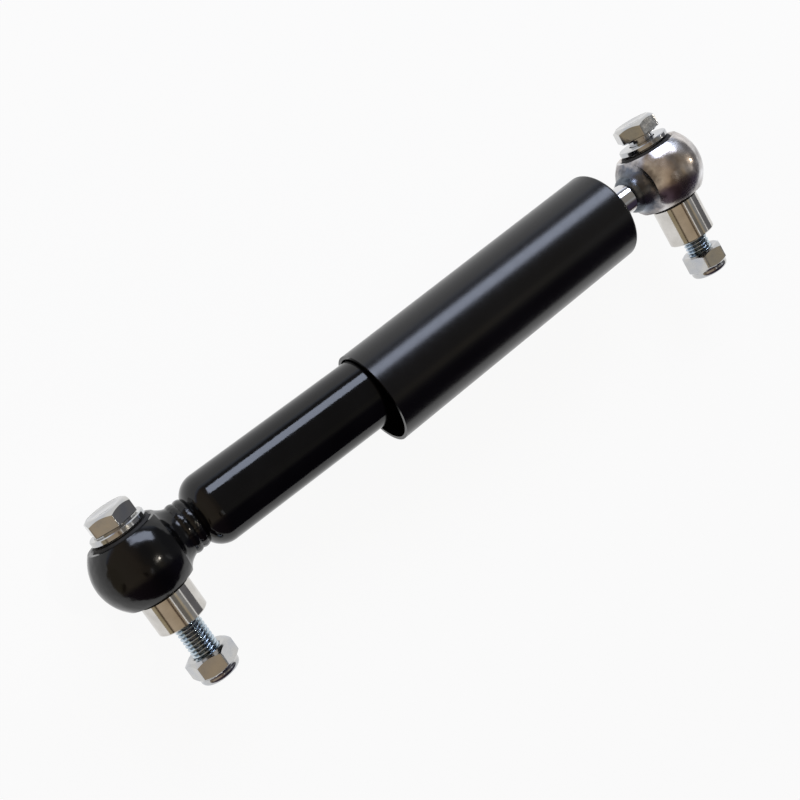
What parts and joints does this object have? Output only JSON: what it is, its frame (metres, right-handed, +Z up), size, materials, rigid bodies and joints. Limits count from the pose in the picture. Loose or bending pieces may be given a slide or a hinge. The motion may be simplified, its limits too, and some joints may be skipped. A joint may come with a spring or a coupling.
{
  "type": "trailer shock absorber",
  "caption": "Twin-tube hydraulic damper with ball eyes, rubber bushes, a loose dust cover and cross bolts with collars, washers and locking nuts.",
  "frame": {"origin": "centre of the lower mounting eye, on its bolt's axis", "axes": "+X along the damper to the upper eye, +Y along the bolts towards their heads, +Z up, with the damper lying on its side"},
  "size_m": [0.3412, 0.0856, 0.044],
  "materials": {
    "black_gloss": "gloss black enamel",
    "black_plastic": "satin black",
    "forged_steel": "polished bare steel",
    "chrome_rod": "ground and chromed",
    "zinc_bolt": "bright zinc",
    "steel": "machined steel",
    "weld": "painted weld bead",
    "bare_weld": "bare weld bead",
    "rubber": "matt black",
    "nylon": "natural nylon",
    "sinter": "sintered iron",
    "bronze": "bronze lining",
    "band": "filled low-friction plastic"
  },
  "bodies": {
    "barrel": {"reservoir_tube": "black_gloss", "lower_eye": "black_gloss", "lower_eye_weld": "weld", "pressure_tube": "steel", "base_valve_body": "sinter", "base_check_disc": "steel", "base_check_spring": "steel", "base_valve_shims": "steel", "base_valve_rivet": "steel", "rod_guide": "sinter", "rod_guide_bush": "bronze", "guide_o_ring": "rubber", "rod_seal": "rubber", "seal_garter_spring": "steel", "seal_cap": "steel", "lower_bush_rubber": "rubber"},
    "band": {"piston_band": "band"},
    "rod": {"piston_rod": "chrome_rod", "piston": "sinter", "rebound_shims": "steel", "piston_nut": "steel", "intake_valve_plate": "steel", "intake_spring": "steel", "rebound_stop_collar": "steel", "rebound_bumper": "rubber", "cover_clip": "steel", "upper_eye": "forged_steel", "upper_eye_weld": "bare_weld", "upper_bush_rubber": "rubber"},
    "cover": {"dust_cover": "black_plastic"},
    "lower_sleeve": {"lower_bush_sleeve": "steel"},
    "lower_washer_body": {"lower_washer": "zinc_bolt"},
    "lower_collar_body": {"lower_collar": "zinc_bolt"},
    "lower_bolt_body": {"lower_bolt": "zinc_bolt"},
    "lower_insert_body": {"lower_nut_insert": "nylon"},
    "lower_nut_body": {"lower_nut": "zinc_bolt"},
    "upper_sleeve": {"upper_bush_sleeve": "steel"},
    "upper_washer_body": {"upper_washer": "zinc_bolt"},
    "upper_collar_body": {"upper_collar": "zinc_bolt"},
    "upper_bolt_body": {"upper_bolt": "zinc_bolt"},
    "upper_insert_body": {"upper_nut_insert": "nylon"},
    "upper_nut_body": {"upper_nut": "zinc_bolt"}
  },
  "joints": [
    {"name": "rod_slide", "type": "slide", "parent": "barrel", "child": "band", "axis": [1, 0, 0], "range_m": [-0.06, 0.037]},
    {"name": "rod_twist", "type": "hinge", "parent": "band", "child": "rod", "pos_m": [0.12, 0, 0], "axis": [1, 0, 0], "continuous": true},
    {"name": "cover_lean", "type": "hinge", "parent": "rod", "child": "cover", "pos_m": [0.2595, 0, 0], "axis": [0, 0, 1], "range_deg": [-3, 0]},
    {"name": "lower_bush_twist", "type": "hinge", "parent": "barrel", "child": "lower_sleeve", "pos_m": [0, 0, 0], "axis": [0, 1, 0], "range_deg": [-20, 20], "stiffness_Nm_per_rad": 2},
    {"name": "lower_washer_spin", "type": "hinge", "parent": "lower_sleeve", "child": "lower_washer_body", "pos_m": [0, 0.0165, 0], "axis": [0, 1, 0], "continuous": true},
    {"name": "lower_collar_spin", "type": "hinge", "parent": "lower_sleeve", "child": "lower_collar_body", "pos_m": [0, -0.022, 0], "axis": [0, 1, 0], "continuous": true},
    {"name": "lower_bolt_spin", "type": "hinge", "parent": "lower_sleeve", "child": "lower_bolt_body", "pos_m": [0, 0, 0], "axis": [0, 1, 0], "continuous": true},
    {"name": "lower_nut_run", "type": "slide", "parent": "lower_bolt_body", "child": "lower_insert_body", "axis": [0, -1, 0], "range_m": [-0.0159, 0.013]},
    {"name": "lower_nut_turn", "type": "hinge", "parent": "lower_insert_body", "child": "lower_nut_body", "pos_m": [0, -0.05, 0], "axis": [0, -1, 0], "range_deg": [-3271.9, 2675.3]},
    {"name": "upper_bush_twist", "type": "hinge", "parent": "rod", "child": "upper_sleeve", "pos_m": [0.3, 0, 0], "axis": [0, 1, 0], "range_deg": [-20, 20], "stiffness_Nm_per_rad": 2},
    {"name": "upper_washer_spin", "type": "hinge", "parent": "upper_sleeve", "child": "upper_washer_body", "pos_m": [0.3, 0.0165, 0], "axis": [0, 1, 0], "continuous": true},
    {"name": "upper_collar_spin", "type": "hinge", "parent": "upper_sleeve", "child": "upper_collar_body", "pos_m": [0.3, -0.022, 0], "axis": [0, 1, 0], "continuous": true},
    {"name": "upper_bolt_slide", "type": "slide", "parent": "upper_sleeve", "child": "upper_bolt_body", "axis": [0, -1, 0], "range_m": [0, 0.0028]},
    {"name": "upper_nut_run", "type": "slide", "parent": "upper_bolt_body", "child": "upper_insert_body", "axis": [0, -1, 0], "range_m": [-0.0079, 0.013]},
    {"name": "upper_nut_turn", "type": "hinge", "parent": "upper_insert_body", "child": "upper_nut_body", "pos_m": [0.3, -0.05, 0], "axis": [0, -1, 0], "range_deg": [-1626.1, 2675.3]}
  ],
  "couplings": [
    {"joint": "lower_nut_turn", "follows": "lower_nut_run", "rad_per_m": 3590.4},
    {"joint": "upper_nut_turn", "follows": "upper_nut_run", "rad_per_m": 3590.4}
  ]
}
